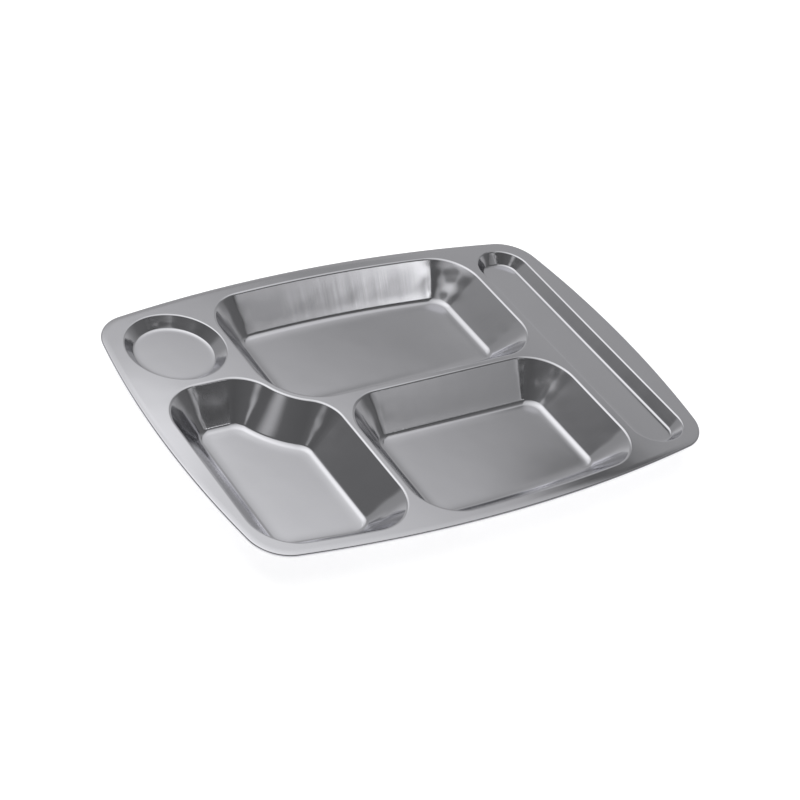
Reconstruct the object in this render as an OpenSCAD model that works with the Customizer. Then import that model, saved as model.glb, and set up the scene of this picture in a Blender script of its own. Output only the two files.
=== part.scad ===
// Divided compartment plate, pressed from one sheet of stainless steel.
// X runs along the tray to the right, Y runs to the back, Z runs up.
// The origin is under the middle of the tray, on the surface that its deep wells rest on.
// Each formed feature of the sheet is a solid of its own, and they meet face to face.

/* [Tray outline] */
// Length of the tray between the middles of its left and right edges
tray_l = 395; // [350:1:440]
// Width of the tray between the middles of its front and back edges
tray_w = 282.8; // [255:0.2:320]
// How far the front and back edges bow out at their middles
long_bow = 18.5; // [10:0.5:22]
// How far the left and right edges bow out at their middles
short_bow = 14.4; // [8:0.2:20]
// Radius of the tray's four corners
tray_corner_r = 29.6; // [20:0.2:36]

/* [Sheet and hem] */
// Thickness of the steel sheet
sheet_t = 0.7; // [0.5:0.05:1]
// Width of the band round the edge that rolls evenly down to the hem
edge_w = 5; // [4.4:0.2:7]
// Slope of that band where it meets the hem, in degrees
edge_angle = 5; // [2:0.5:10]
// Inner radius of the hem's fold
hem_bend_r = 0.45; // [0.3:0.05:0.7]
// Length of the hem's return leg under the edge
hem_leg_l = 3; // [2:0.1:3.4]

/* [Deep wells] */
// Depth of the three deep wells below the deck
well_depth = 25; // [18:0.5:28]
// Slope of the deep wells' walls, in degrees from level
wall_angle = 47.5; // [45:0.5:60]
// Radius of the shoulder where the deck turns down into a deep well
shoulder_r = 2.5; // [1.5:0.1:4]
// Radius of the bend between a deep well's wall and its floor
floor_bend_r = 7; // [4:0.5:9]
// Least radius of a deep well's floor corners, seen from above
floor_corner_r = 9; // [6:0.5:11]
// Radius of the deep wells' usual rim corners, seen from above
rim_corner_r = 34; // [28:0.5:38]
// Width of the flat ribs between neighbouring wells
rib_w = 2.7; // [2:0.1:6]
// Width of the deck between the back edge and the main well
back_land = 10; // [8:0.1:14]
// Width of the deck between the front edge and the front wells
front_land = 8.9; // [8:0.1:14]

/* [Main well] */
// Width of the main well from front to back, in line with the tray's middle
main_w = 129.4; // [110:0.2:140]
// Radius of the main well's large corner, beside the left well
main_big_corner_r = 44.3; // [36:0.1:50]

/* [Left well] */
// Width of the deck between the left edge and the left well
left_land = 14.9; // [13:0.1:20]
// Width of the left well from left to right
left_w = 118; // [100:0.5:125]
// Radius of the left well's curve at the back end of its diagonal
diagonal_back_r = 30.8; // [26:0.2:34]
// Radius of the left well's curve at the right end of its diagonal
diagonal_side_r = 25.8; // [22:0.2:32]

/* [Cup well] */
// Radius of the round cup well at its rim
cup_r = 37; // [33:0.1:39]
// Depth of the cup well below the deck
cup_depth = 7.5; // [5:0.5:12]
// Slope of the cup well's wall, in degrees from level
cup_wall_angle = 45; // [40:1:60]
// Radius of the cup well's shoulder
cup_shoulder_r = 1.5; // [1:0.1:2.5]
// Radius of the bend between the cup well's wall and its floor
cup_floor_bend_r = 2; // [1:0.1:3]
// How far the cup well lies in from the left well's left rim
cup_set_in = 3.8; // [2:0.1:6]
// Width of the deck between the back edge and the cup well
cup_back_land = 9; // [7.5:0.1:12]
// Width of the deck between the cup well and the left well
cup_front_land = 4.4; // [3:0.1:8]
// Width of the deck between the cup well and the main well
cup_side_land = 3.3; // [2:0.1:6]

/* [Cutlery channel] */
// Width of the deck between the long edges and the channel's ends, at the channel's middle
channel_end_land = 10.6; // [9.6:0.1:20]
// Width of the cutlery channel
channel_w = 45.3; // [38:0.1:50]
// Radius of the channel's corners at its rim, seen from above
channel_rim_corner_r = 22; // [16:0.5:22.5]
// Radius of the channel's corners at its floor, seen from above
channel_floor_corner_r = 10; // [6:0.5:13]
// Depth of the cutlery channel below the deck
channel_depth = 8.5; // [6:0.5:12]
// Slope of the channel's walls, in degrees from level
channel_wall_angle = 49; // [45:1:60]
// Radius of the channel's shoulder
channel_shoulder_r = 2; // [1:0.1:2.5]
// Radius of the bend between the channel's wall and its floor
channel_floor_bend_r = 2.5; // [1:0.1:3]
// Width of the deck between the right edge and the channel
right_land = 18.9; // [15:0.1:22]
// Width of the deck between the channel and its neighbours
channel_land = 5; // [3:0.1:8]

/* [Hidden] */
steel = [0.68, 0.68, 0.69];
polished_steel = [0.74, 0.74, 0.75];

// Steps that each kind of curve is drawn in
corner_steps = 8;
bow_steps = 14;
diagonal_steps = 6;
hollow_steps = 4;
shoulder_steps = 4;
bend_steps = 5;
fold_steps = 7;
roll_steps = 3;
round_steps = 96;

// Height of the deck's top face above the surface that the tray rests on
deck_z = well_depth + sheet_t;

// The long edges are arcs about points on the Y axis, the short ones about points on the X axis
long_edge_r = arc_radius(tray_l / 2, long_bow);
short_edge_r = arc_radius(tray_w / 2, short_bow);
long_centre_y = tray_w / 2 - long_edge_r;
short_centre_x = tray_l / 2 - short_edge_r;

// Level distance from a deep well's or the channel's rim to the edge of its flat floor
deep_run = wall_run(well_depth, wall_angle, shoulder_r, floor_bend_r);
channel_run = wall_run(channel_depth, channel_wall_angle, channel_shoulder_r, channel_floor_bend_r);

// Places of the rims, from left to right and from back to front
left_x0 = left_land - tray_l / 2;
left_x1 = left_x0 + left_w;
centre_x0 = left_x1 + rib_w;
channel_x1 = tray_l / 2 - right_land;
channel_x0 = channel_x1 - channel_w;
wells_x1 = channel_x0 - channel_land;
channel_y1 = long_centre_y + leg(long_edge_r, (channel_x0 + channel_x1) / 2) - channel_end_land;
cup_x = left_x0 + cup_set_in + cup_r;
cup_y = long_centre_y + leg(long_edge_r - cup_back_land - cup_r, cup_x);
main_x0 = cup_x + cup_r + cup_side_land;
main_y0 = tray_w / 2 - back_land - main_w;
centre_y1 = main_y0 - rib_w;
left_y1 = cup_y - cup_r - cup_front_land;

// Centre of the main well's large corner, which the left well's diagonal also curves round
big_corner = [main_x0 + main_big_corner_r, main_y0 + main_big_corner_r];

// Radius of an arc from half its chord and its height
function arc_radius(half_chord, height) = (half_chord * half_chord + height * height) / (2 * height);

// Remaining leg of a right triangle
function leg(long_side, short_side) = sqrt(long_side * long_side - short_side * short_side);

// Direction from one point to another, between 0 and 360 degrees
function bearing(from, to) = let (a = atan2(to.y - from.y, to.x - from.x)) a < 0 ? a + 360 : a;

// Level distance that a wall covers with the bends above and below it
function wall_run(depth, angle, top_r, low_r) =
    (top_r + low_r) * sin(angle) + (depth - (top_r + low_r) * (1 - cos(angle))) / tan(angle);

// Corner radius at a distance in from the rim
function inner_r(r, inset) = inset == 0 ? r : max(r - inset, floor_corner_r);

// An arc of an outline is [centre, radius, first angle, last angle, steps, whether it keeps its ends]
function arc_points(arc) = [
    for (i = [1 - arc[5] : arc[4] - 1 + arc[5]])
        let (a = arc[2] + (arc[3] - arc[2]) * i / arc[4])
            arc[0] + arc[1] * [cos(a), sin(a)]
];

function outline_points(arcs) = [for (arc = arcs) each arc_points(arc)];

function corner_arc(centre, r, from, to) = [centre, r, from, to, corner_steps, 1];

// Centre of a corner that touches an upright line at x and a long edge's parallel.
// side_x and side_y are 1 or -1 and say in which direction the corner points.
function bow_corner(x, r, land, side_x, side_y) =
    let (cx = x - side_x * r)
        [cx, side_y * (long_centre_y + leg(long_edge_r - land - r, cx))];

// Bowed edge that runs a land's width in from the tray's back edge, or its front edge
function back_bow(land, from, to) =
    let (c = [0, long_centre_y])
        [c, long_edge_r - land, bearing(c, from), bearing(c, to), bow_steps, 0];
function front_bow(land, from, to) =
    let (c = [0, -long_centre_y])
        [c, long_edge_r - land, bearing(c, from), bearing(c, to), bow_steps, 0];

// Outline of the tray, a distance in from its edge
function tray_outline(inset) =
    let (
        c = tray_corner_centre(),
        a_short = bearing([short_centre_x, 0], c),
        a_long = bearing([0, long_centre_y], c),
        r = tray_corner_r - inset,
        long_r = long_edge_r - inset,
        short_r = short_edge_r - inset
    )
    outline_points([
        [[short_centre_x, 0], short_r, -a_short, a_short, bow_steps, 0],
        corner_arc([c.x, c.y], r, a_short, a_long),
        [[0, long_centre_y], long_r, a_long, 180 - a_long, bow_steps, 0],
        corner_arc([-c.x, c.y], r, 180 - a_long, 180 - a_short),
        [[-short_centre_x, 0], short_r, 180 - a_short, 180 + a_short, bow_steps, 0],
        corner_arc([-c.x, -c.y], r, 180 + a_short, 180 + a_long),
        [[0, -long_centre_y], long_r, 180 + a_long, 360 - a_long, bow_steps, 0],
        corner_arc([c.x, -c.y], r, 360 - a_long, 360 - a_short)
    ]);

// Centre of the tray's back right corner, where circles about its two edges' centres cross
function tray_corner_centre() =
    let (
        a = [0, long_centre_y],
        b = [short_centre_x, 0],
        ra = long_edge_r - tray_corner_r,
        rb = short_edge_r - tray_corner_r,
        d = norm(b - a),
        u = (b - a) / d,
        along = (ra * ra - rb * rb + d * d) / (2 * d)
    )
    a + along * u + leg(ra, along) * [u.y, -u.x];

// Rims of the deep wells at no inset, and outlines of their floors at the full inset
function main_outline(inset) =
    let (
        r = inner_r(rim_corner_r, inset),
        big_r = inner_r(main_big_corner_r, inset),
        x0 = main_x0 + inset,
        x1 = wells_x1 - inset,
        y0 = main_y0 + inset,
        land = back_land + inset,
        back_right = bow_corner(x1, r, land, 1, 1),
        back_left = bow_corner(x0, r, land, -1, 1),
        bow = back_bow(land, back_right, back_left)
    )
    outline_points([
        corner_arc(back_right, r, 0, bow[2]),
        bow,
        corner_arc(back_left, r, bow[3], 180),
        corner_arc([x0 + big_r, y0 + big_r], big_r, 180, 270),
        corner_arc([x1 - r, y0 + r], r, 270, 360)
    ]);

function centre_outline(inset) =
    let (
        r = inner_r(rim_corner_r, inset),
        x0 = centre_x0 + inset,
        x1 = wells_x1 - inset,
        y1 = centre_y1 - inset,
        land = front_land + inset,
        front_left = bow_corner(x0, r, land, -1, -1),
        front_right = bow_corner(x1, r, land, 1, -1),
        bow = front_bow(land, front_left, front_right)
    )
    outline_points([
        corner_arc([x1 - r, y1 - r], r, 0, 90),
        corner_arc([x0 + r, y1 - r], r, 90, 180),
        corner_arc(front_left, r, 180, bow[2]),
        bow,
        corner_arc(front_right, r, bow[3], 360)
    ]);

// The left well's diagonal is an S: two rounded corners with a hollow curve between them,
// which keeps a rib's width from the main well's large corner
function left_outline(inset) =
    let (
        r = inner_r(rim_corner_r, inset),
        back_r = inner_r(diagonal_back_r, inset),
        side_r = inner_r(diagonal_side_r, inset),
        hollow_r = main_big_corner_r + rib_w + inset,
        x0 = left_x0 + inset,
        x1 = left_x1 - inset,
        y1 = left_y1 - inset,
        land = front_land + inset,
        side_x = x1 - side_r,
        side = [side_x, big_corner.y - leg(hollow_r + side_r, big_corner.x - side_x)],
        back_y = y1 - back_r,
        back = [big_corner.x - leg(hollow_r + back_r, big_corner.y - back_y), back_y],
        front_left = bow_corner(x0, r, land, -1, -1),
        front_right = bow_corner(x1, r, land, 1, -1),
        bow = front_bow(land, front_left, front_right)
    )
    outline_points([
        [side, side_r, 0, bearing(side, big_corner), diagonal_steps, 1],
        [big_corner, hollow_r, bearing(big_corner, side), bearing(big_corner, back), hollow_steps, 0],
        [back, back_r, bearing(back, big_corner), 90, diagonal_steps, 1],
        corner_arc([x0 + r, y1 - r], r, 90, 180),
        corner_arc(front_left, r, 180, bow[2]),
        bow,
        corner_arc(front_right, r, bow[3], 360)
    ]);

// The channel has straight sides and ends that are round at the rim and squarer at the floor
function channel_outline(inset) =
    let (
        r = inset == 0 ? channel_rim_corner_r : channel_floor_corner_r,
        x0 = channel_x0 + inset + r,
        x1 = channel_x1 - inset - r,
        y = channel_y1 - inset - r
    )
    outline_points([
        corner_arc([x1, y], r, 0, 90),
        corner_arc([x0, y], r, 90, 180),
        corner_arc([x0, -y], r, 180, 270),
        corner_arc([x1, -y], r, 270, 360)
    ]);

// Section of a well's wall as [distance in from the rim, height from the deck's top face].
// under is 0 for the upper skin of the sheet and its thickness for the lower skin.
function wall_section(depth, angle, top_r, low_r, under) =
    let (run = wall_run(depth, angle, top_r, low_r))
    concat(
        [for (i = [0 : shoulder_steps])
            let (a = angle * i / shoulder_steps)
                [(top_r - under) * sin(a), (top_r - under) * cos(a) - top_r]],
        [for (i = [0 : bend_steps])
            let (a = angle * (1 - i / bend_steps))
                [run - (low_r + under) * sin(a), low_r - depth - (low_r + under) * cos(a)]]
    );

// Section of the rolled edge and its open hem as [distance in from the tray's edge, height from the
// deck's top face], a closed loop from the joint with the deck out along the lower skin and back.
// The roll's radius is the one that reaches the slope just where the hem's fold starts.
function hem_section() =
    let (
        fold_r = sheet_t + hem_bend_r,
        roll_r = fold_r + (edge_w - fold_r) / sin(edge_angle),
        out = [-cos(edge_angle), -sin(edge_angle)],
        up = turned(edge_angle),
        roll = [edge_w, -roll_r],
        fold = roll + (roll_r - fold_r) * up
    )
    concat(
        [for (i = [0 : roll_steps])
            roll + (roll_r - sheet_t) * turned(edge_angle * i / roll_steps)],
        [for (i = [0 : fold_steps]) fold + hem_bend_r * spun(up, out, 180 * i / fold_steps)],
        [fold - hem_bend_r * up - hem_leg_l * out, fold - fold_r * up - hem_leg_l * out],
        [for (i = [fold_steps : -1 : 0]) fold + fold_r * spun(up, out, 180 * i / fold_steps)],
        [for (i = [roll_steps : -1 : 0]) roll + roll_r * turned(edge_angle * i / roll_steps)]
    );

// Upright unit vector leaned outwards by an angle, and a unit vector swung from one to another
function turned(a) = [-sin(a), cos(a)];
function spun(from, to, a) = from * cos(a) + to * sin(a);

// Rings of points at each step of a wall section, from the rim's outline to the floor's outline
function wall_rings(rim, floor_line, run, section) = [
    for (s = section)
        [for (i = [0 : len(rim) - 1])
            let (p = rim[i] + (floor_line[i] - rim[i]) * s.x / run) [p.x, p.y, deck_z + s.y]]
];

// Rings of points at each step of the hem's section, round the tray
function hem_rings() = [
    for (s = hem_section()) [for (p = tray_outline(s.x)) [p.x, p.y, deck_z + s.y]]
];

// Solid whose skin joins each ring to the next and the last to the first.
// Where cap is a ring's number, that ring and the next are closed with flat faces instead.
module ring_solid(rings, cap) {
    n = len(rings[0]);
    count = len(rings);
    band = [
        for (k = [0 : count - 1]) if (k != cap)
            for (i = [0 : n - 1])
                let (
                    a = k * n,
                    b = (k + 1) % count * n,
                    j = (i + 1) % n
                )
                each [[a + i, b + i, b + j], [a + i, b + j, a + j]]
    ];
    caps = cap < 0 ? [] : [
        [for (i = [n - 1 : -1 : 0]) cap * n + i],
        [for (i = [0 : n - 1]) (cap + 1) * n + i]
    ];
    polyhedron(points = [for (r = rings) each r], faces = concat(band, caps), convexity = 6);
}

// Thin well between a rim and a floor outline: the upper skin down to the floor, then the lower skin
module formed_well(rim, floor_line, depth, angle, top_r, low_r) {
    run = wall_run(depth, angle, top_r, low_r);
    upper = wall_section(depth, angle, top_r, low_r, 0);
    lower = wall_section(depth, angle, top_r, low_r, sheet_t);
    lower_up = [for (i = [len(lower) - 1 : -1 : 0]) lower[i]];
    ring_solid(wall_rings(rim, floor_line, run, concat(upper, lower_up)), len(upper) - 1);
}

module deep_well(rim, floor_line) {
    formed_well(rim, floor_line, well_depth, wall_angle, shoulder_r, floor_bend_r);
}

// Flat sheet between the wells, cut out along their rims
module deck() {
    color(steel)
    translate([0, 0, deck_z - sheet_t])
    linear_extrude(sheet_t)
    difference() {
        polygon(tray_outline(edge_w));
        polygon(main_outline(0));
        polygon(left_outline(0));
        polygon(centre_outline(0));
        polygon(channel_outline(0));
        translate([cup_x, cup_y]) circle(r = cup_r, $fn = round_steps);
    }
}

// Edge of the sheet, rolled down a little and folded under into an open hem
module rim_hem() {
    color(polished_steel)
    ring_solid(hem_rings(), -1);
}

module main_well() {
    color(steel)
    deep_well(main_outline(0), main_outline(deep_run));
}

module left_well() {
    color(steel)
    deep_well(left_outline(0), left_outline(deep_run));
}

module centre_well() {
    color(steel)
    deep_well(centre_outline(0), centre_outline(deep_run));
}

// Round well that a cup or a small bowl stands in
module cup_well() {
    upper = wall_section(cup_depth, cup_wall_angle, cup_shoulder_r, cup_floor_bend_r, 0);
    lower = wall_section(cup_depth, cup_wall_angle, cup_shoulder_r, cup_floor_bend_r, sheet_t);
    color(steel)
    translate([cup_x, cup_y, deck_z])
    rotate_extrude($fn = round_steps)
    polygon(concat(
        [[0, -cup_depth - sheet_t], [0, -cup_depth]],
        [for (i = [len(upper) - 1 : -1 : 0]) [cup_r - upper[i].x, upper[i].y]],
        [for (s = lower) [cup_r - s.x, s.y]]
    ));
}

// Long shallow channel for a knife, a fork and a spoon
module cutlery_channel() {
    color(steel)
    formed_well(channel_outline(0), channel_outline(channel_run), channel_depth,
        channel_wall_angle, channel_shoulder_r, channel_floor_bend_r);
}

deck();
rim_hem();
main_well();
left_well();
centre_well();
cup_well();
cutlery_channel();
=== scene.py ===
"""Looks of the divided compartment plate: the pressed sheet, its hem, its steel and the studio."""

import math

import bmesh
import bpy
from mathutils import Matrix, Vector


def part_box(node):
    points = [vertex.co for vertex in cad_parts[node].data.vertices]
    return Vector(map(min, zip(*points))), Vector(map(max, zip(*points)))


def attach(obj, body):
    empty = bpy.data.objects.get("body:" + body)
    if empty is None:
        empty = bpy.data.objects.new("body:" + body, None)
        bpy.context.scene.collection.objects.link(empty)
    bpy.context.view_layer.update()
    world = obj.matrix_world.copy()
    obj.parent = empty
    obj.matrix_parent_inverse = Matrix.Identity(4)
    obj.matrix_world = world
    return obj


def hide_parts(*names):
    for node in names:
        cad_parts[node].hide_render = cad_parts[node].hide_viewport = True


bl_info = {
    "name": "Divided Compartment Plate",
    "version": (1, 0, 0),
    "blender": (4, 5, 0),
    "location": "View3D > Sidebar > Plate",
    "description": "Builds a pressed stainless plate with five wells on its packed frame",
    "category": "Object",
}

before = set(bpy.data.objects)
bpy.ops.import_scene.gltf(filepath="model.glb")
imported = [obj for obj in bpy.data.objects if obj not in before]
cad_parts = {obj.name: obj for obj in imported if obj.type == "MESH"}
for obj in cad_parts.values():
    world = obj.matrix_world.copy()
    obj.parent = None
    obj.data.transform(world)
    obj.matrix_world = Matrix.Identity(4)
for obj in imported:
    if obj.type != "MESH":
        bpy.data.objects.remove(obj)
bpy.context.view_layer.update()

MM = 0.001

# Flat flange that each well keeps round its rim, so that the shading runs on into the deck
SEAM_FLANGE = 0.3 * MM

# Points this close are one
WELD = 0.01 * MM

# Slope at which the bend at a wall's foot runs out into the floor, and how much less steep the wall
# is by the time that bend starts
EASE_SLOPE = math.radians(3.5)
FOOT_SLOPE = math.radians(1.5)

# Steps that each kind of curve is drawn in, and the longest side of a face along a straight wall
CORNER_STEPS = 24
BOW_STEPS = 40
DIAGONAL_STEPS = 18
HOLLOW_STEPS = 16
BEND_STEPS = 10
WALL_STEPS = 14
EASE_STEPS = 8
ROLL_STEPS = 8
FOLD_STEPS = 14
ROUND_STEPS = 144
LONGEST_SIDE = 2.5 * MM


# Sizes and colours


def amount(name, description, value, **settings):
    return bpy.props.FloatProperty(name=name, description=description, default=value, **settings)


def length(name, description, millimetres):
    return amount(name, description, millimetres * MM, min=0, unit="LENGTH", precision=5)


def angle(name, description, degrees):
    return amount(name, description, math.radians(degrees), unit="ROTATION")


def share(name, description, value):
    return amount(name, description, value, min=0, max=1, subtype="FACTOR")


def level(name, description, value):
    return amount(name, description, value, min=0, soft_max=4)


def colour(name, description, hex_colour):
    description += ", as sRGB hex"
    return bpy.props.StringProperty(name=name, description=description, default=hex_colour)


class TrayEdgeSizes(bpy.types.PropertyGroup):
    """Outline of the tray, its sheet and its hem"""

    long_bow: length("Long bow", "How far the front and back edges bow out", 18.5)
    short_bow: length("Short bow", "How far the left and right edges bow out", 14.4)
    corner_r: length("Corner radius", "Radius of the tray's four corners", 29.6)
    sheet_t: length("Sheet thickness", "Thickness of the steel sheet", 0.7)
    edge_w: length("Edge width", "Width of the band that rolls down to the hem", 5)
    edge_angle: angle("Edge slope", "Slope of that band at the hem", 5)
    hem_bend_r: length("Hem bend radius", "Inner radius of the hem's fold", 0.45)
    hem_leg: length("Hem leg", "Length of the hem's return leg", 3)


class DeepWellSizes(bpy.types.PropertyGroup):
    """Walls and corners of the main, left and centre wells"""

    wall_angle: angle("Wall slope", "Slope of the walls from level", 47.5)
    shoulder_r: length("Shoulder radius", "Radius where the deck turns down", 2.5)
    floor_bend_r: length("Floor bend radius", "Radius between wall and floor", 7)
    floor_ease: length("Floor ease", "How far the bend dies away into the floor", 8)
    foot_ease: length("Foot ease", "How far above the bend the wall starts to curve", 7)
    floor_corner_r: length("Floor corner radius", "Least radius of a floor's corners", 9)
    rim_corner_r: length("Rim corner radius", "Radius of the usual rim corners", 34)
    big_corner_r: length("Large corner radius", "The main well's corner beside the left well", 44.3)
    rib_w: length("Rib width", "Width of the flat ribs between the wells", 2.7)
    back_land: length("Back land", "Deck between back edge and main well", 10)
    front_land: length("Front land", "Deck between front edge and front wells", 8.9)
    diagonal_back_r: length("Diagonal back radius", "Curve at the diagonal's back end", 30.8)
    diagonal_side_r: length("Diagonal side radius", "Curve at the diagonal's right end", 25.8)


class CupWellSizes(bpy.types.PropertyGroup):
    """Wall of the round well"""

    wall_angle: angle("Wall slope", "Slope of the wall from level", 45)
    shoulder_r: length("Shoulder radius", "Radius where the deck turns down", 1.5)
    floor_bend_r: length("Floor bend radius", "Radius between wall and floor", 2)
    floor_ease: length("Floor ease", "How far the bend dies away into the floor", 4)
    foot_ease: length("Foot ease", "How far above the bend the wall starts to curve", 2)


class ChannelSizes(bpy.types.PropertyGroup):
    """Walls and corners of the cutlery channel"""

    wall_angle: angle("Wall slope", "Slope of the walls from level", 49)
    shoulder_r: length("Shoulder radius", "Radius where the deck turns down", 2)
    floor_bend_r: length("Floor bend radius", "Radius between wall and floor", 2.5)
    floor_ease: length("Floor ease", "How far the bend dies away into the floor", 4)
    foot_ease: length("Foot ease", "How far above the bend the wall starts to curve", 2)
    rim_corner_r: length("Rim corner radius", "Radius of the corners at the rim", 22)
    floor_corner_r: length("Floor corner radius", "Radius of the corners at the floor", 10)


class FinishLooks(bpy.types.PropertyGroup):
    """Colours and surface of the steel"""

    steel_light: colour("Steel, light", "Colour of clean steel", "#CCCCD0")
    steel_dark: colour("Steel, dark", "Colour of steel under a wiped film", "#C4C4C8")
    steel_roughness: share("Sheet roughness", "Roughness of the rolled sheet", 0.095)
    edge_roughness: share("Edge roughness", "Roughness of the burnished edge", 0.1)
    grain_depth: length("Grain depth", "Depth of the rolled grain", 0.0006)
    streak_depth: length("Streak depth", "Depth of the draw streaks", 0.006)
    pucker_height: length("Pucker height", "How far the deepest walls pucker at a corner", 0.8)
    pucker_length: length("Pucker length", "Distance between the puckers", 20)


class StudioLooks(bpy.types.PropertyGroup):
    """Table and lamps round the plate"""

    table_colour: colour("Table", "Colour of the table", "#F3F3F3")
    table_glow: level("Table glow", "Light that the table shows beyond what falls on it", 0.68)
    soft_box_level: level("Soft box", "Brightness of the overhead soft box", 1.4)
    bulb_level: level("Bulb", "How much brighter the soft box is before its bulb", 0.35)
    strip_level: level("Strip lamp", "Brightness of the strip lamp's light on the card", 2.2)
    window_level: level("Window", "Brightness of the window high in the studio's wall", 0.45)
    card_level: level("Card", "Brightness of the white card", 0.27)
    fill_level: level("Fill", "Plain light from all round on matt surfaces", 0.3)


# Curves that more than one piece follows


def leg(long_side, short_side):
    """Remaining leg of a right triangle."""
    return math.sqrt(long_side**2 - short_side**2)


def arc_radius(half_chord, height):
    return (half_chord**2 + height**2) / (2 * height)


def bearing(start, end):
    """Direction from one point to another, between nothing and a full turn."""
    return math.atan2(end.y - start.y, end.x - start.x) % math.tau


def arc(centre, radius, start, end, steps, keeps_ends=True):
    """Points of an arc. One that runs on from its neighbours leaves its ends to them."""
    inner = range(steps + 1) if keeps_ends else range(1, steps)
    turns = [start + (end - start) * i / steps for i in inner]
    return [centre + radius * Vector((math.cos(a), math.sin(a))) for a in turns]


def corner(centre, radius, start, end):
    return arc(centre, radius, start, end, CORNER_STEPS)


QUARTER = math.pi / 2


class Plan:
    """The plate from above: its edges' centres and the places of its rims, read from the frame."""

    def __init__(self, scene):
        self.edge = scene.plate_edge
        self.deep = scene.plate_deep_wells
        self.channel = scene.plate_channel
        self.deck_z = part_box("deck")[1].z
        half_l, half_w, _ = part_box("rim_hem")[1]
        self.long_r = arc_radius(half_l, self.edge.long_bow)
        self.short_r = arc_radius(half_w, self.edge.short_bow)
        self.long_centre_y = half_w - self.long_r
        self.short_centre_x = half_l - self.short_r
        self.big_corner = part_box("main_well")[0].xy + Vector((self.deep.big_corner_r,) * 2)

    def tray(self, inset):
        """Outline of the tray, a distance in from its edge. Its front is its back turned round."""
        side, back = Vector((self.short_centre_x, 0)), Vector((0, self.long_centre_y))
        c = self.corner_centre(back, side)
        a, b = bearing(side, c), bearing(back, c)
        r, half = self.edge.corner_r - inset, math.pi
        half_round = (
            arc(side, self.short_r - inset, -a, a, BOW_STEPS, False)
            + corner(c, r, a, b)
            + arc(back, self.long_r - inset, b, half - b, BOW_STEPS, False)
            + corner(Vector((-c.x, c.y)), r, half - b, half - a)
        )
        return half_round + [-p for p in half_round]

    def corner_centre(self, back, side):
        """Centre of a corner that touches the back and the side edge from inside."""
        back_r, side_r = self.long_r - self.edge.corner_r, self.short_r - self.edge.corner_r
        apart = (side - back).length
        u = (side - back) / apart
        along = (back_r**2 - side_r**2 + apart**2) / (2 * apart)
        return back + along * u + leg(back_r, along) * Vector((u.y, -u.x))

    def inner_r(self, radius, inset):
        """Corner radius of a deep well at a distance in from its rim."""
        return radius if inset == 0 else max(radius - inset, self.deep.floor_corner_r)

    def bowed_side(self, side_y, x0, x1, r, land):
        """Corner, bowed edge and corner of a well, at its back (side_y 1) or its front (side_y -1).

        The corners touch upright lines at x0 and x1, and the edge keeps a land from the tray's."""
        middle = Vector((0, side_y * self.long_centre_y))
        turn = 0 if side_y > 0 else math.pi
        ends = []
        for side_x in (side_y, -side_y):
            x = (x1 if side_x > 0 else x0) - side_x * r
            y = side_y * (self.long_centre_y + leg(self.long_r - land - r, x))
            ends.append(Vector((x, y)))
        a, b = (bearing(middle, end) for end in ends)
        return (
            corner(ends[0], r, turn, a)
            + arc(middle, self.long_r - land, a, b, BOW_STEPS, False)
            + corner(ends[1], r, b, turn + math.pi)
        )

    def main_well(self, inset):
        low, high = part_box("main_well")
        r = self.inner_r(self.deep.rim_corner_r, inset)
        big_r = self.inner_r(self.deep.big_corner_r, inset)
        x0, x1, y0 = low.x + inset, high.x - inset, low.y + inset
        return (
            self.bowed_side(1, x0, x1, r, self.deep.back_land + inset)
            + corner(Vector((x0 + big_r, y0 + big_r)), big_r, 2 * QUARTER, 3 * QUARTER)
            + corner(Vector((x1 - r, y0 + r)), r, 3 * QUARTER, 4 * QUARTER)
        )

    def centre_well(self, inset):
        low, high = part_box("centre_well")
        r = self.inner_r(self.deep.rim_corner_r, inset)
        x0, x1, y1 = low.x + inset, high.x - inset, high.y - inset
        return (
            corner(Vector((x1 - r, y1 - r)), r, 0, QUARTER)
            + corner(Vector((x0 + r, y1 - r)), r, QUARTER, 2 * QUARTER)
            + self.bowed_side(-1, x0, x1, r, self.deep.front_land + inset)
        )

    def left_well(self, inset):
        """The diagonal is an S that keeps a rib's width from the main well's large corner."""
        low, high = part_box("left_well")
        r = self.inner_r(self.deep.rim_corner_r, inset)
        back_r = self.inner_r(self.deep.diagonal_back_r, inset)
        side_r = self.inner_r(self.deep.diagonal_side_r, inset)
        hollow_r = self.deep.big_corner_r + self.deep.rib_w + inset
        x0, x1, y1 = low.x + inset, high.x - inset, high.y - inset
        big = self.big_corner
        side_x, back_y = x1 - side_r, y1 - back_r
        side = Vector((side_x, big.y - leg(hollow_r + side_r, big.x - side_x)))
        back = Vector((big.x - leg(hollow_r + back_r, big.y - back_y), back_y))
        return (
            arc(side, side_r, 0, bearing(side, big), DIAGONAL_STEPS)
            + arc(big, hollow_r, bearing(big, side), bearing(big, back), HOLLOW_STEPS, False)
            + arc(back, back_r, bearing(back, big), QUARTER, DIAGONAL_STEPS)
            + corner(Vector((x0 + r, y1 - r)), r, QUARTER, 2 * QUARTER)
            + self.bowed_side(-1, x0, x1, r, self.deep.front_land + inset)
        )

    def cutlery_channel(self, inset):
        low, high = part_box("cutlery_channel")
        r = self.channel.rim_corner_r if inset == 0 else self.channel.floor_corner_r
        x0, x1, y = low.x + inset + r, high.x - inset - r, high.y - inset - r
        return (
            corner(Vector((x1, y)), r, 0, QUARTER)
            + corner(Vector((x0, y)), r, QUARTER, 2 * QUARTER)
            + corner(Vector((x0, -y)), r, 2 * QUARTER, 3 * QUARTER)
            + corner(Vector((x1, -y)), r, 3 * QUARTER, 4 * QUARTER)
        )

    def cup_well(self, inset):
        low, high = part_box("cup_well")
        middle = (low.xy + high.xy) / 2
        return arc(middle, (high.x - low.x) / 2 - inset, 0, math.tau, ROUND_STEPS)[:-1]


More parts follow.
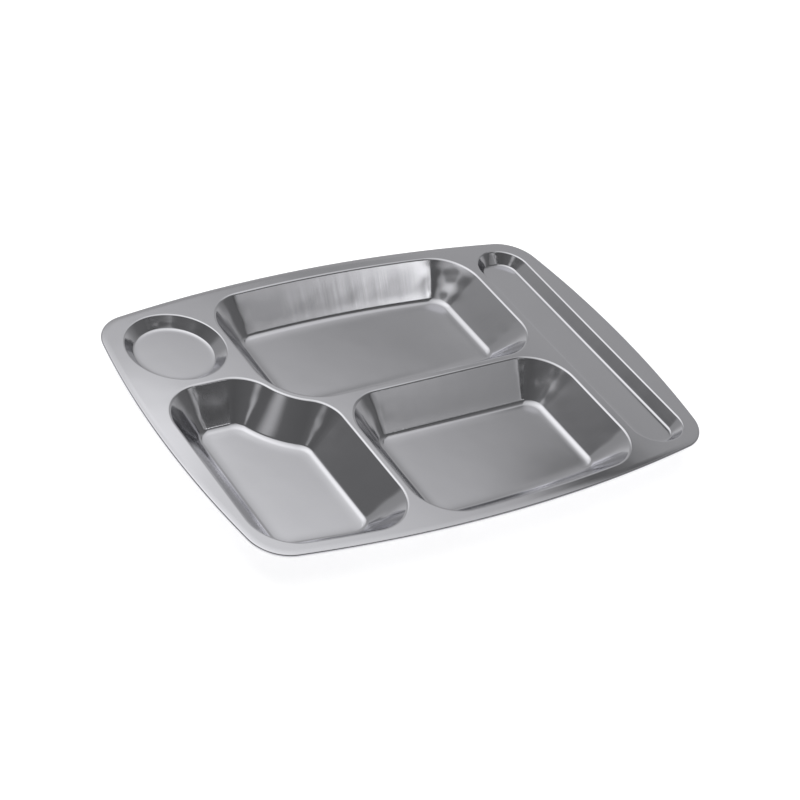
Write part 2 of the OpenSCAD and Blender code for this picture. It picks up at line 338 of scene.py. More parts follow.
def with_short_sides(outer, inner):
    """The same two outlines, with their long sides split alike."""
    split_outer, split_inner = [], []
    for i, (p, q) in enumerate(zip(outer, inner)):
        p_next, q_next = outer[(i + 1) % len(outer)], inner[(i + 1) % len(inner)]
        parts = math.ceil((p_next - p).length / LONGEST_SIDE)
        for k in range(parts):
            split_outer.append(p.lerp(p_next, k / parts))
            split_inner.append(q.lerp(q_next, k / parts))
    return split_outer, split_inner


def wall_run(depth, slope, top_r, low_r):
    """Level distance that a wall covers with the bends above and below it."""
    bends = top_r + low_r
    return bends * math.sin(slope) + (depth - bends * (1 - math.cos(slope))) / math.tan(slope)


def bend(x, z, radius, start, end):
    """Section of a bend about a centre, between two slopes."""
    slopes = [start + (end - start) * i / BEND_STEPS for i in range(BEND_STEPS + 1)]
    return [(x + radius * math.sin(a), z + radius * math.cos(a)) for a in slopes]


def wall_section(sizes, depth):
    """Upper skin of a wall, from the deck's flange to the floor, as (distance in from rim, height).

    A drawn floor springs back a little, so the bend ends at a slight slope that dies away."""
    slope, top_r, low_r = sizes.wall_angle, sizes.shoulder_r, sizes.floor_bend_r
    run = wall_run(depth, slope, top_r, low_r)
    shoulder = bend(0, -top_r, top_r, 0, slope)
    ease_drop = math.tan(EASE_SLOPE) * sizes.floor_ease / 3
    bend_slope = slope - FOOT_SLOPE
    bend_z = ease_drop - depth + low_r * math.cos(EASE_SLOPE)
    foot_rise = sizes.foot_ease * math.tan(FOOT_SLOPE) / 2
    foot_z = bend_z - low_r * math.cos(bend_slope) - foot_rise * math.cos(slope)
    line_x = run - low_r * math.tan(slope / 2) - (depth + foot_z) / math.tan(slope)
    bend_x = line_x + foot_rise * math.sin(slope) + low_r * math.sin(bend_slope)
    floor_bend = bend(bend_x, bend_z, -low_r, bend_slope, EASE_SLOPE)
    ease_x = floor_bend[-1][0]
    ease = [
        (ease_x + sizes.floor_ease * s, ease_drop * (1 - s) ** 3 - depth)
        for s in (i / EASE_STEPS for i in range(1, EASE_STEPS + 1))
    ]
    top, foot = Vector(shoulder[-1]), Vector((line_x, foot_z))
    margin = SEAM_FLANGE / (foot - top).length
    eased_part = sizes.foot_ease / (foot - top).length
    off_wall = Vector((math.sin(slope), math.cos(slope))) * foot_rise
    wall = []
    for s in (margin, *(i / WALL_STEPS for i in range(1, WALL_STEPS)), 1 - margin):
        wall.append(tuple(top.lerp(foot, s) + off_wall * max(0, 1 - (1 - s) / eased_part) ** 2))
    last = (ease[-1][0] + 2 * SEAM_FLANGE, -depth)
    return [(-SEAM_FLANGE, 0)] + shoulder + wall + floor_bend + ease + [last]


def hem_section(edge):
    """Rolled edge and open hem as a closed loop of (distance in from the tray's edge, height)."""
    fold_r = edge.sheet_t + edge.hem_bend_r
    slope = edge.edge_angle
    roll_r = fold_r + (edge.edge_w - fold_r) / math.sin(slope)
    out = Vector((-math.cos(slope), -math.sin(slope)))
    up = Vector((-math.sin(slope), math.cos(slope)))
    roll = Vector((edge.edge_w, -roll_r))
    fold = roll + (roll_r - fold_r) * up

    def rolled(radius, i):
        a = slope * i / ROLL_STEPS
        return roll + radius * Vector((-math.sin(a), math.cos(a)))

    def folded(radius, i):
        a = math.pi * i / FOLD_STEPS
        return fold + radius * (up * math.cos(a) + out * math.sin(a))

    loop = [rolled(roll_r - edge.sheet_t, i) for i in range(ROLL_STEPS + 1)]
    loop += [folded(edge.hem_bend_r, i) for i in range(FOLD_STEPS + 1)]
    loop += [fold - r * up - edge.hem_leg * out for r in (edge.hem_bend_r, fold_r)]
    loop += [folded(fold_r, i) for i in range(FOLD_STEPS, -1, -1)]
    loop += [rolled(roll_r, i) for i in range(ROLL_STEPS, -1, -1)]
    return [tuple(p) for p in loop + loop[:1]]


# Node helpers

# Kinds of node that come up again and again
MATH = "ShaderNodeMath"
VECTOR_MATH = "ShaderNodeVectorMath"
MAP_RANGE = "ShaderNodeMapRange"
SEPARATE = "ShaderNodeSeparateXYZ"
NOISE = "ShaderNodeTexNoise"
BUMP = "ShaderNodeBump"
ATTRIBUTE = "ShaderNodeAttribute"


def linear(hex_colour):
    """An sRGB hex colour as linear RGBA."""
    channels = [int(hex_colour[i : i + 2], 16) / 255 for i in (1, 3, 5)]
    return [c / 12.92 if c <= 0.04045 else ((c + 0.055) / 1.055) ** 2.4 for c in channels] + [1]


def add(tree, kind, inputs=(), output=0, **settings):
    """Adds a node with its settings and links, and gives one of its outputs.

    Inputs are named, or in the node's own order. Each is a value, or another node's output."""
    node = tree.nodes.new(kind)
    for key, value in settings.items():
        setattr(node, key, value)
    for key, value in inputs.items() if isinstance(inputs, dict) else enumerate(inputs):
        socket = node.inputs[key]
        if isinstance(value, bpy.types.NodeSocket):
            tree.links.new(value, socket)
        else:
            socket.default_value = value
    return node.outputs[output] if node.outputs else None


made = {}


def once(make):
    """What a function makes, made when it is first asked for and shared from then on."""
    if make not in made:
        made[make] = make()
    return made[make]


def new_material(name):
    """A material with an empty tree."""
    material = bpy.data.materials.new(name)
    material.use_nodes = True
    material.node_tree.nodes.clear()
    return material, material.node_tree


# Steel

# Patches of the film that wiping leaves, and the ripple that a held sheet keeps
FILM_SIZE = 40 * MM
RIPPLE_SIZE = 26 * MM
RIPPLE_DEPTH = 0.05 * MM

# Rolled grain is 0.03 mm across in truth, and drawn 0.9 mm across so that it shows
GRAIN_SIZE = 0.9 * MM

# Streaks of the draw, fine and wide, and how much stronger the wide ones are
FINE_STREAK = 1.5 * MM
WIDE_STREAK = 6 * MM
WIDE_WEIGHT = 3

# Hairlines from stacking are 0.05 mm wide in truth, and drawn 0.7 mm wide so that they show
HAIRLINE_WIDTH = 0.7 * MM
HAIRLINE_LENGTH = 60 * MM

# Roller lines are 0.1 mm apart in truth, and drawn 0.5 mm apart so that they show. Each is about
# 50 mm long.
ROLLER_LINE = 0.5 * MM
ROLLER_LINE_STRETCH = 0.01

# How much each of them adds to the roughness where it is strongest, on the sheet and on the edge
FILM_DULLS = 0.06
STREAKS_DULL = 0.012
HAIRLINES_DULL = 0.02
LINES_DULL_EDGE = 0.06
FILM_DULLS_EDGE = 0.03


def halfway_down(tree, drawn):
    """1 halfway down a wall, and 0 at its rim and its foot."""
    undrawn = add(tree, MATH, (1, drawn), operation="SUBTRACT")
    product = add(tree, MATH, (drawn, undrawn), operation="MULTIPLY")
    return add(tree, MATH, (product, 4), operation="MULTIPLY")


def steel_surface(tree, film, rough, normal):
    """Steel's own colour with the film's cloudy patches, and its gloss."""
    finish = bpy.context.scene.plate_finish
    mix = {"Factor": film, "A": linear(finish.steel_dark), "B": linear(finish.steel_light)}
    tint = add(tree, "ShaderNodeMix", mix, "Result", data_type="RGBA")
    metal = {"Base Color": tint, "Metallic": 1, "Roughness": rough, "Normal": normal}
    steel = add(tree, "ShaderNodeBsdfPrincipled", metal)
    add(tree, "ShaderNodeOutputMaterial", {"Surface": steel})


def satin_stainless():
    """Austenitic stainless sheet, cold rolled bright, then deep drawn.

    Rolling leaves a fine even grain, which softens reflections a little. Drawing over the die's
    edge leaves streaks that run straight down the walls, and a faint ripple where it was held."""
    finish = bpy.context.scene.plate_finish
    material, tree = new_material("Bright rolled stainless sheet, deep drawn")
    place = add(tree, "ShaderNodeTexCoord", output="Object")
    start = add(tree, ATTRIBUTE, output="Vector", attribute_name="drawn_from")
    drawn = add(tree, ATTRIBUTE, output="Fac", attribute_name="drawn")
    film = add(tree, NOISE, {"Vector": place, "Scale": 1 / FILM_SIZE, "Detail": 3})

    # Streaks show on the walls alone, most of all halfway down
    fine = add(tree, NOISE, {"Vector": start, "Scale": 1 / FINE_STREAK, "Detail": 1})
    wide = add(tree, NOISE, {"Vector": start, "Scale": 1 / WIDE_STREAK, "Detail": 1})
    streaks = add(tree, MATH, (wide, WIDE_WEIGHT, fine), operation="MULTIPLY_ADD")
    streaks = add(tree, MATH, (streaks, halfway_down(tree, drawn)), operation="MULTIPLY")

    per_hair = [1 / HAIRLINE_WIDTH, 1 / HAIRLINE_LENGTH, 1 / HAIRLINE_WIDTH]
    hair_place = add(tree, VECTOR_MATH, (place, per_hair), operation="MULTIPLY")
    hairs = add(tree, NOISE, {"Vector": hair_place, "Scale": 1, "Detail": 1})

    rough = finish.steel_roughness - FILM_DULLS / 2
    for cause, dulls in ((film, FILM_DULLS), (streaks, STREAKS_DULL), (hairs, HAIRLINES_DULL)):
        rough = add(tree, MATH, (cause, dulls, rough), operation="MULTIPLY_ADD")

    grain = add(tree, NOISE, {"Vector": place, "Scale": 1 / GRAIN_SIZE, "Detail": 2})
    ripple = add(tree, NOISE, {"Vector": place, "Scale": 1 / RIPPLE_SIZE, "Detail": 1})
    normal = add(tree, BUMP, {"Height": grain, "Distance": finish.grain_depth})
    for relief, depth in ((ripple, RIPPLE_DEPTH), (streaks, finish.streak_depth)):
        normal = add(tree, BUMP, {"Height": relief, "Distance": depth, "Normal": normal})
    steel_surface(tree, film, rough, normal)
    return material


def burnished_edge():
    """The same stainless sheet, bent over a hard roller and burnished by it at the fold.

    The roller leaves the edge brighter than the sheet, with fine lines that run along it."""
    finish = bpy.context.scene.plate_finish
    material, tree = new_material("Stainless edge, roller burnished")
    place = add(tree, "ShaderNodeTexCoord", output="Object")
    start = add(tree, ATTRIBUTE, output="Vector", attribute_name="drawn_from")
    across = add(tree, ATTRIBUTE, output="Vector", attribute_name="in_section")
    film = add(tree, NOISE, {"Vector": place, "Scale": 1 / FILM_SIZE, "Detail": 3})

    stretch = [ROLLER_LINE_STRETCH] * 2 + [0]
    along = add(tree, VECTOR_MATH, (start, stretch), operation="MULTIPLY")
    line_place = add(tree, VECTOR_MATH, (across, along), operation="ADD")
    lines = add(tree, NOISE, {"Vector": line_place, "Scale": 1 / ROLLER_LINE, "Detail": 1})

    rough = finish.edge_roughness - LINES_DULL_EDGE / 2
    for cause, dulls in ((lines, LINES_DULL_EDGE), (film, FILM_DULLS_EDGE)):
        rough = add(tree, MATH, (cause, dulls, rough), operation="MULTIPLY_ADD")
    normal = add(tree, BUMP, {"Height": lines, "Distance": finish.grain_depth})
    steel_surface(tree, film, rough, normal)
    return material


# Geometry node tree

# How much a straight wall puckers. A corner, where the sheet is drawn together, puckers by the
# share of its length that it loses.
STRAIGHT_PUCKER = 0.02
PUCKER_SEED = 3.0

# Points of an outline over which the puckers of a corner die away, and how far they change on their
# way down a wall, in puckers
PUCKER_BLUR = 14
PUCKER_SHIFT = 2

SKIN_INPUTS = {
    "Outer outline": "Object",
    "Section": "Object",
    "Run": "Float",
    "Depth": "Float",
    "Pucker height": "Float",
    "Pucker length": "Float",
    "Seed": "Float",
    "Close the middle": "Bool",
    "Merge distance": "Float",
    "Steel": "Material",
}

# What the skin keeps for the steel's nodes: a point's place on the rim, its place in the section,
# and the share of the wall above it
TRACES = {"drawn_from": "FLOAT_VECTOR", "in_section": "FLOAT_VECTOR", "drawn": "FLOAT"}


def skin_tree():
    """Draws a section round the band between an outer and an inner outline.

    The modifier's own mesh is the inner outline, whose face can close the middle.
    Returns the tree and the identifier of each named input."""
    tree = bpy.data.node_groups.new("Skin between two outlines", "GeometryNodeTree")
    sockets = tree.interface
    sockets.new_socket("Geometry", in_out="OUTPUT", socket_type="NodeSocketGeometry")
    identifiers = {
        name: sockets.new_socket(name, in_out="INPUT", socket_type="NodeSocket" + kind).identifier
        for name, kind in {"Geometry": "Geometry", **SKIN_INPUTS}.items()
    }
    inner = add(tree, "NodeGroupInput", output="Geometry")
    given = inner.node.outputs
    outer = add(tree, "GeometryNodeObjectInfo", {"Object": given["Outer outline"]}, "Geometry")
    section = add(tree, "GeometryNodeObjectInfo", {"Object": given["Section"]}, "Geometry")
    around = add(tree, "GeometryNodeAttributeDomainSize", {"Geometry": inner}, "Point Count")
    across = add(tree, "GeometryNodeAttributeDomainSize", {"Geometry": section}, "Point Count")
    index = add(tree, "GeometryNodeInputIndex")
    here = add(tree, "GeometryNodeInputPosition")

    def place_of(number, outline):
        """Where a numbered point of an outline is."""
        inputs = {"Geometry": outline, "Value": here, "Index": number}
        return add(tree, "GeometryNodeSampleIndex", inputs, data_type="FLOAT_VECTOR")

    def side_of(outline):
        """Length of an outline's side that starts at this point."""
        following = add(tree, MATH, (index, 1), operation="ADD")
        following = add(tree, MATH, (following, around), operation="MODULO")
        ends = place_of(index, outline), place_of(following, outline)
        return add(tree, VECTOR_MATH, ends, "Value", operation="DISTANCE")

    def gathered():
        """How much each side of the inner outline is shorter than the outer one's, smoothed."""
        kept = add(tree, MATH, (side_of(inner), side_of(outer)), operation="DIVIDE")
        lost = add(tree, MATH, (1, kept), operation="SUBTRACT")
        corners = add(tree, MATH, (lost, 0), operation="MAXIMUM")
        return add(tree, "GeometryNodeBlurAttribute", {"Value": corners, "Iterations": PUCKER_BLUR})

    slack = add(tree, MATH, (gathered(), STRAIGHT_PUCKER), operation="ADD")

    def puckered(number, start, drawn):
        """How far the sheet puckers inwards or outwards on its way down a wall."""
        per_pucker = add(tree, MATH, (1, given["Pucker length"]), operation="DIVIDE")
        along = add(tree, VECTOR_MATH, {0: start, "Scale": per_pucker}, operation="SCALE")
        shift = add(tree, MATH, (drawn, PUCKER_SHIFT, given["Seed"]), operation="MULTIPLY_ADD")
        down = add(tree, "ShaderNodeCombineXYZ", {"Z": shift})
        place = add(tree, VECTOR_MATH, (along, down), operation="ADD")
        wave = add(tree, NOISE, {"Vector": place, "Scale": 1, "Detail": 1})
        swing = add(tree, MATH, (wave, 2, -1), operation="MULTIPLY_ADD")
        loose = {"Geometry": inner, "Value": slack, "Index": number}
        height = add(tree, "GeometryNodeSampleIndex", loose)
        for part in (given["Pucker height"], halfway_down(tree, drawn), swing):
            height = add(tree, MATH, (height, part), operation="MULTIPLY")
        return height

    def on_skin(number, step):
        """The place of a section's step between the two outlines' points of one number."""
        start, end = place_of(number, outer), place_of(number, inner)
        in_section = place_of(step, section)
        at = add(tree, SEPARATE, (in_section,)).node.outputs
        fall = add(tree, MATH, (at["Z"],), operation="ABSOLUTE")
        drawn = add(tree, MATH, (fall, given["Depth"]), operation="DIVIDE")
        inwards = add(tree, MATH, (at["X"], puckered(number, start, drawn)), operation="ADD")
        covered = add(tree, MATH, (inwards, given["Run"]), operation="DIVIDE")
        mix = {"Factor": covered, "A": start, "B": end}
        between = add(tree, "ShaderNodeMix", mix, "Result", data_type="VECTOR", clamp_factor=False)
        rise = add(tree, "ShaderNodeCombineXYZ", {"Z": at["Z"]})
        place = add(tree, VECTOR_MATH, (between, rise), operation="ADD")
        return place, (start, in_section, drawn)

    def laid(mesh, number, step):
        """Puts a mesh's points on the skin, with their traces."""
        place, traces = on_skin(number, step)
        for (name, kind), value in zip(TRACES.items(), traces):
            stored = {"Geometry": mesh, "Name": name, "Value": value}
            mesh = add(tree, "GeometryNodeStoreNamedAttribute", stored, data_type=kind)
        return add(tree, "GeometryNodeSetPosition", {"Geometry": mesh, "Position": place})

    columns = add(tree, MATH, (around, 1), operation="ADD")
    grid = {"Vertices X": columns, "Vertices Y": across}
    column = add(tree, MATH, (index, across), operation="DIVIDE")
    column = add(tree, MATH, (column,), operation="FLOOR")
    number = add(tree, MATH, (column, around), operation="MODULO")
    step = add(tree, MATH, (index, across), operation="MODULO")
    band = laid(add(tree, "GeometryNodeMeshGrid", grid, "Mesh"), number, step)
    last_step = add(tree, MATH, (across, 1), operation="SUBTRACT")
    choice = {"Switch": given["Close the middle"], "True": laid(inner, index, last_step)}
    middle = add(tree, "GeometryNodeSwitch", choice, input_type="GEOMETRY")
    skin = add(tree, "GeometryNodeJoinGeometry", (band,))
    tree.links.new(middle, skin.node.inputs[0])
    welding = {"Geometry": skin, "Distance": given["Merge distance"]}
    skin = add(tree, "GeometryNodeMergeByDistance", welding)
    skin = add(tree, "GeometryNodeSetShadeSmooth", {"Geometry": skin})
    skin = add(tree, "GeometryNodeRealizeInstances", {"Geometry": skin})
    skin = add(tree, "GeometryNodeSetMaterial", {"Geometry": skin, "Material": given["Steel"]})
    add(tree, "NodeGroupOutput", {"Geometry": skin})
    return tree, identifiers


# Pieces

# Edges of the sheet that turn by more than this are cut, not bent
SHARP_ANGLE = math.radians(40)

WELLS = ("main_well", "left_well", "centre_well", "cup_well", "cutlery_channel")


def new_mesh(name, points, edges=(), faces=()):
    mesh = bpy.data.meshes.new(name)
    mesh.from_pydata(points, edges, faces)
    return mesh


def placed(name, data):
    """An object in the scene that shows a mesh, a curve or a camera."""
    obj = bpy.data.objects.new(name, data)
    bpy.context.scene.collection.objects.link(obj)
    return obj


def outline_face(name, points, z):
    """A face inside an outline."""
    corners = [(p.x, p.y, z) for p in points]
    return placed(name, new_mesh(name, corners, faces=[range(len(points))]))


def section_line(name, points):
    """A chain of edges that follows a section."""
    edges = [(i, i + 1) for i in range(len(points) - 1)]
    return placed(name, new_mesh(name, [(x, 0, z) for x, z in points], edges))


def evaluated_mesh(obj):
    bpy.context.view_layer.update()
    graph = bpy.context.evaluated_depsgraph_get()
    return bpy.data.meshes.new_from_object(obj.evaluated_get(graph), depsgraph=graph)


def made_plain(obj):
    """Turns what an object's modifiers make into its mesh."""
    mesh = evaluated_mesh(obj)
    obj.modifiers.clear()
    obj.data = mesh
    return obj


def skinned(name, outer, inner, section, steel, run, depth, pucker, closes_middle):
    """A piece whose section is drawn between two outlines."""
    scene = bpy.context.scene
    z = Plan(scene).deck_z
    host = outline_face(name, inner, z)
    guide = outline_face(name + "_outer", outer, z)
    profile = section_line(name + "_section", section)
    tree, identifiers = once(skin_tree)
    modifier = host.modifiers.new("Skin", "NODES")
    modifier.node_group = tree
    values = {
        "Outer outline": guide,
        "Section": profile,
        "Run": run,
        "Depth": depth,
        "Pucker height": pucker,
        "Pucker length": scene.plate_finish.pucker_length,
        "Seed": PUCKER_SEED,
        "Close the middle": closes_middle,
        "Merge distance": WELD,
        "Steel": steel,
    }
    for key, value in values.items():
        modifier[identifiers[key]] = value
    made_plain(host)
    for helper in (guide, profile):
        bpy.data.objects.remove(helper)
    return host


def thickened(obj, thickness):
    """Gives a skin the sheet's thickness, downwards."""
    solid = obj.modifiers.new("Sheet", "SOLIDIFY")
    solid.thickness = thickness
    solid.offset = -1
    solid.use_even_offset = True
    return made_plain(obj)


def finished(obj, node):
    """Sharp cut edges, smooth bends, and the piece's place in the frame."""
    obj.data.set_sharp_from_angle(angle=SHARP_ANGLE)
    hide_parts(node)
    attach(obj, "root")


def welded(mesh):
    """Closes the seams between a flat curve's faces and its sides."""
    bm = bmesh.new()
    bm.from_mesh(mesh)
    bmesh.ops.remove_doubles(bm, verts=bm.verts, dist=WELD / 10)
    bmesh.ops.recalc_face_normals(bm, faces=bm.faces)
    bm.to_mesh(mesh)
    bm.free()
    mesh.shade_smooth()


class PLATE_OT_deck(bpy.types.Operator):
    """Flat sheet between the wells"""

    bl_idname = "plate.deck"
    bl_label = "Flat deck"

    def execute(self, context):
        plan = Plan(context.scene)
        sheet_t = plan.edge.sheet_t
        curve = bpy.data.curves.new("deck_sheet", "CURVE")
        curve.dimensions = "2D"
        curve.fill_mode = "BOTH"
        curve.extrude = sheet_t / 2
        seams = [seam_outline(well) for well in wells(context.scene)]
        for points in (plan.tray(plan.edge.edge_w), *seams):
            spline = curve.splines.new("POLY")
            spline.points.add(len(points) - 1)
            for target, p in zip(spline.points, points):
                target.co = (p.x, p.y, 0, 1)
            spline.use_cyclic_u = True
        blank = placed("deck_blank", curve)
        mesh = evaluated_mesh(blank)
        bpy.data.objects.remove(blank)
        mesh.transform(Matrix.Translation((0, 0, plan.deck_z - sheet_t / 2)))
        welded(mesh)
        mesh.materials.clear()
        mesh.materials.append(once(satin_stainless))
        finished(placed("deck_sheet", mesh), "deck")
        return {"FINISHED"}


def wells(scene):
    """Each well as its node, its sizes, its floor's depth under the deck and its outline."""
    plan = Plan(scene)
    shallow = {"cup_well": scene.plate_cup_well, "cutlery_channel": scene.plate_channel}
    rows = []
    for node in WELLS:
        low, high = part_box(node)
        depth = high.z - low.z - plan.edge.sheet_t
        rows.append((node, shallow.get(node, plan.deep), depth, getattr(plan, node)))
    return rows


def well_outlines(well):
    """Rim and floor of a well, with the level distance between them."""
    _, sizes, depth, outline = well
    run = wall_run(depth, sizes.wall_angle, sizes.shoulder_r, sizes.floor_bend_r)
    rim, floor = with_short_sides(outline(0), outline(run))
    return rim, floor, run


def seam_outline(well):
    """Where the deck meets a well's flange."""
    rim, floor, run = well_outlines(well)
    return [p + (p - q) * (SEAM_FLANGE / run) for p, q in zip(rim, floor)]


class PLATE_OT_wells(bpy.types.Operator):
    """The five pressed wells"""

    bl_idname = "plate.wells"
    bl_label = "Pressed wells"

    def execute(self, context):
        sheet_t = context.scene.plate_edge.sheet_t
        steel = once(satin_stainless)
        rows = wells(context.scene)
        deepest = max(depth for _, _, depth, _ in rows)
        for well in rows:
            node, sizes, depth, _ = well
            rim, floor, run = well_outlines(well)
            section = wall_section(sizes, depth)
            pucker = context.scene.plate_finish.pucker_height * depth / deepest
            skin = skinned(node + "_sheet", rim, floor, section, steel, run, depth, pucker, True)
            finished(thickened(skin, sheet_t), node)
        return {"FINISHED"}


class PLATE_OT_hem(bpy.types.Operator):
    """Edge of the sheet, rolled down a little and folded under"""

    bl_idname = "plate.hem"
    bl_label = "Rolled edge and hem"

    def execute(self, context):
        plan = Plan(context.scene)
        width = plan.edge.edge_w
        outer, inner = plan.tray(0), plan.tray(width)
        section, steel = hem_section(plan.edge), once(burnished_edge)
        sizes = {"run": width, "depth": 1, "pucker": 0, "closes_middle": False}
        hem = skinned("rim_hem_fold", outer, inner, section, steel, **sizes)
        finished(hem, "rim_hem")
        return {"FINISHED"}


# Studio

# Level of what the studio's lamps leave dark
STUDIO_DARK = 0.1

TABLE_HALF = 6

# Keeps the table's face and the wells' undersides from lying in one plane
TABLE_GAP = 0.02 * MM

# Each ramp of light below runs from one place to another, in metres. Its third and fourth numbers
# are its levels there, where these aren't 0 and 1.

# Soft box from above. It dies away from its middle, and a bulb brightens it at one place.
BOX_HEIGHT = 1
BOX_OUTLINE = (
    (-0.9, 1.5), (-0.9, 0.15), (-0.55, -0.25), (-0.2, -0.68), (0.25, -0.7), (0.5, -0.36),
    (0.64, -0.05), (0.76, 0.22), (1.12, 0.42), (1.12, 0.8), (0.97, 1.5),
)
BOX_MIDDLE = (-0.2, 0.5, BOX_HEIGHT)
BOX_FALL_OFF = (1.3, 0.2, 0.3)
BOX_LEFT_END = (-0.95, -0.55, 0.3)
BOX_FRONT_END = (-0.75, -0.35, 0.45)
BULB = (0.43, 0.98, BOX_HEIGHT)
BULB_EDGE = (0.15, 0.05, 0)

# It is hidden by its dark frame where both of these are 1
FRAME_SIDE = (0.9, 1)
FRAME_END = (0.82, 0.7)

# The white card stands this far off, at this azimuth, with its middle this high. It and the dark
# round it reach from one number to the other, both ways.
CARD_DISTANCE = 1.3
CARD_AZIMUTH = math.radians(140)
CARD_HEIGHT = 1.1
CARD_REACH = (-0.5, 0.4)

# Its paper is two halves with a gap between them, each brightest along its upper part
PAPER_RIGHT = (-0.16, -0.08)
PAPER_LEFT = (0.35, 0.2)
UPPER_FOOT = (-0.15, -0.13)
UPPER_TOP = (0.01, -0.01)
UPPER_BRIGHT = (-0.075, -0.045)
UPPER_BOOST = 1.4
LOWER_TOP = (-0.18, -0.2)
LOWER_BRIGHT = (-0.3, -0.24)

# A strip lamp shines on the card from one place to another, and dies away at its edge
STRIP_START = Vector((0, -0.01, 0))
STRIP_END = Vector((-0.38, 0.25, 0))
STRIP_EDGE = (0.055, 0.02, 0)

# Grey of the studio's wall at each azimuth in degrees, light behind the plate and dark in front
WALL_GREYS = (
    (-180, 0.12), (-120, 0.16), (-80, 0.14), (-60, 0.17), (-50, 0.185), (-46.5, 0.255), (-42, 0.38),
    (-20, 0.4), (0, 0.5), (40, 0.5), (60, 0.46), (80, 0.33), (100, 0.17), (180, 0.12),
)
WALL_RADIUS = 2.2
WALL_HEIGHT = 4.5
WALL_SIDES = 64

# It is lighter at its foot, all round, and more so low in front
WALL_FOOT = (0.55, 0, 0, 0.25)
WALL_FRONT = (0.2, -0.6)
WALL_LOW = (0.75, 0.4, 0, 0.4)

WINDOW = (-2.04, -0.82, 2.05)
WINDOW_EDGE = (0.55, 0.15, 0)

CAMERA_AZIMUTH = math.radians(-42.1)
CAMERA_ELEVATION = math.radians(37.43)
CAMERA_ROLL = math.radians(15.335)
CAMERA_DISTANCE = 1443.8 * MM
CAMERA_LENS = 91.21
CAMERA_SENSOR = 36
CAMERA_CLIP = (0.05, 50)
CAMERA_AIM = Vector((-0.9, -1.05, 25.7)) * MM
CAMERA_PAN = Vector((4.66, 12.47)) * MM

UP = Vector((0, 0, 1))


class PLATE_OT_studio(bpy.types.Operator):
    """Floor, lamps and camera"""

    bl_idname = "plate.studio"
    bl_label = "Studio"

    def execute(self, context):
        for make in (white_table, world_light, soft_box, round_wall, white_card, camera):
            make()
        return {"FINISHED"}


def square_mesh(name, low, high):
    """A level square that faces upwards."""
    corners = [(low, low, 0), (high, low, 0), (high, high, 0), (low, high, 0)]
    return new_mesh(name, corners, faces=[range(4)])


def seen(tree):
    """1 for rays from the camera, or by way of a gloss or a clear piece."""
    path = add(tree, "ShaderNodeLightPath").node.outputs
    rays = add(tree, MATH, (path["Is Camera Ray"], path["Is Glossy Ray"]), operation="MAXIMUM")
    return add(tree, MATH, (rays, path["Is Transmission Ray"]), operation="MAXIMUM")


def glowing(name, brightness):
    """Material that only gives light. A function adds the nodes of its brightness at a place."""
    material, tree = new_material(name)
    place = add(tree, "ShaderNodeTexCoord", output="Object")
    glow = add(tree, "ShaderNodeEmission", {"Strength": brightness(tree, place)})
    add(tree, "ShaderNodeOutputMaterial", {"Surface": glow})
    return material


def unseen(name, mesh, material):
    """A lamp or wall of the studio, which the camera doesn't see and the steel shows."""
    mesh.materials.append(material)
    obj = placed(name, mesh)
    obj.visible_camera = False
    return obj


def white_table():
    """Matt white table that is white to the camera and to the steel, and keeps the plate's shadow.

    It is clear from below, so that the plate's underside shows there."""
    studio = bpy.context.scene.plate_studio
    material, tree = new_material("Matt white table")
    paint = add(tree, "ShaderNodeBsdfDiffuse", {"Color": linear(studio.table_colour)})
    lift = add(tree, MATH, (seen(tree), studio.table_glow), operation="MULTIPLY")
    glow = add(tree, "ShaderNodeEmission", {"Strength": lift})
    top = add(tree, "ShaderNodeAddShader", (paint, glow))
    underside = add(tree, "ShaderNodeNewGeometry", output="Backfacing")
    clear = add(tree, "ShaderNodeBsdfTransparent")
    table = add(tree, "ShaderNodeMixShader", (underside, top, clear))
    add(tree, "ShaderNodeOutputMaterial", {"Surface": table})
    mesh = square_mesh("studio_floor", -TABLE_HALF, TABLE_HALF)
    mesh.transform(Matrix.Translation(-TABLE_GAP * UP))
    mesh.materials.append(material)
    placed("studio_floor", mesh)


def world_light():
    """White to the camera and to the steel, and a plain fill to everything matt."""
    world = bpy.data.worlds.new("Studio")
    bpy.context.scene.world = world
    world.use_nodes = True
    tree = world.node_tree
    tree.nodes.clear()
    fill = bpy.context.scene.plate_studio.fill_level
    strength = add(tree, MATH, (seen(tree), fill), operation="MAXIMUM")
    light = add(tree, "ShaderNodeBackground", {"Color": (1, 1, 1, 1), "Strength": strength})
    add(tree, "ShaderNodeOutputWorld", {"Surface": light})


